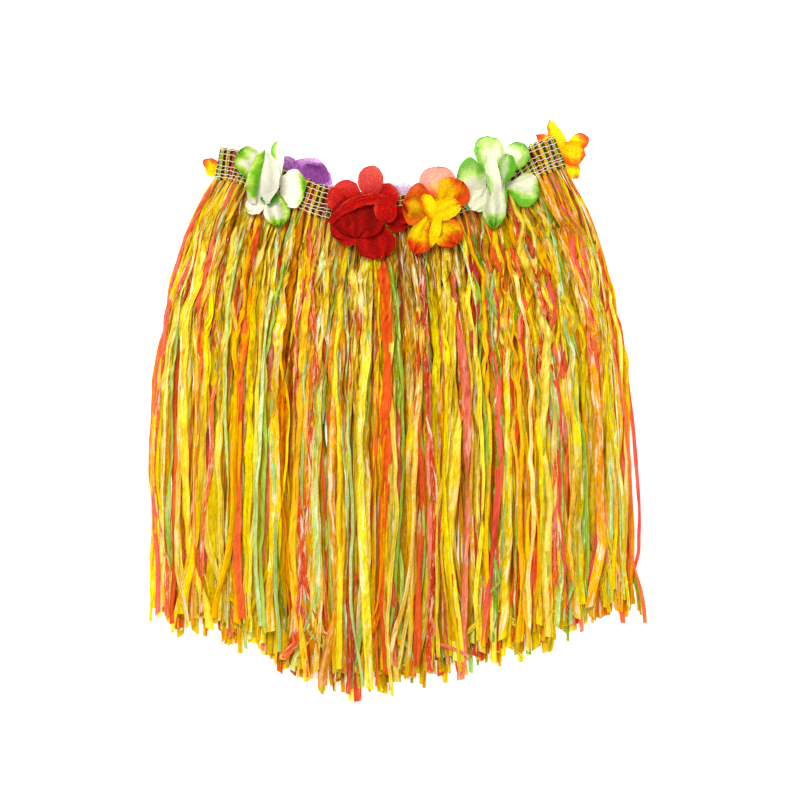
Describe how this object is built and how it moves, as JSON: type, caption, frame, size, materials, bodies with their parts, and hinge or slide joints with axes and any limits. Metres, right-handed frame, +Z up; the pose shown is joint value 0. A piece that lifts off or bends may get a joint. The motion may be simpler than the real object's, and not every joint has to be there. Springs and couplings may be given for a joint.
{
  "type": "grass skirt laid flat",
  "caption": "Hula skirt of loose raffia strips on a knitted waistband with cloth flowers sewn on, laid flat on a surface.",
  "frame": {"origin": "on the surface that the skirt lies on, under the middle of its outline", "axes": "+Z up out of the surface through the back and then the front, +Y from the hem to the waist, +X from the wearer's right side to the left side"},
  "size_m": [0.4497, 0.5329, 0.0251],
  "materials": {
    "knitted_band": "raffia bundles netted with white thread",
    "raffia_gold": "satin, creased lengthwise",
    "raffia_coral": "satin, creased lengthwise",
    "raffia_green": "satin, creased lengthwise",
    "petal_white": "thin cloth with green edges",
    "petal_red": "thin cloth",
    "petal_orange": "thin cloth, yellow with orange edges",
    "petal_purple": "thin cloth"
  },
  "bodies": {
    "root": {"waistband": "knitted_band", "fringe_front_outer": "raffia_gold", "fringe_front_inner": "raffia_coral", "fringe_back_inner": "raffia_green", "fringe_back_outer": "raffia_gold", "flower_white_left": "petal_white", "flower_red": "petal_red", "flower_orange": "petal_orange", "flower_white_right": "petal_white", "flower_orange_back_right": "petal_orange", "flower_purple_back": "petal_purple", "flower_lilac_back": "petal_purple", "flower_orange_back_left": "petal_orange"}
  },
  "joints": []
}
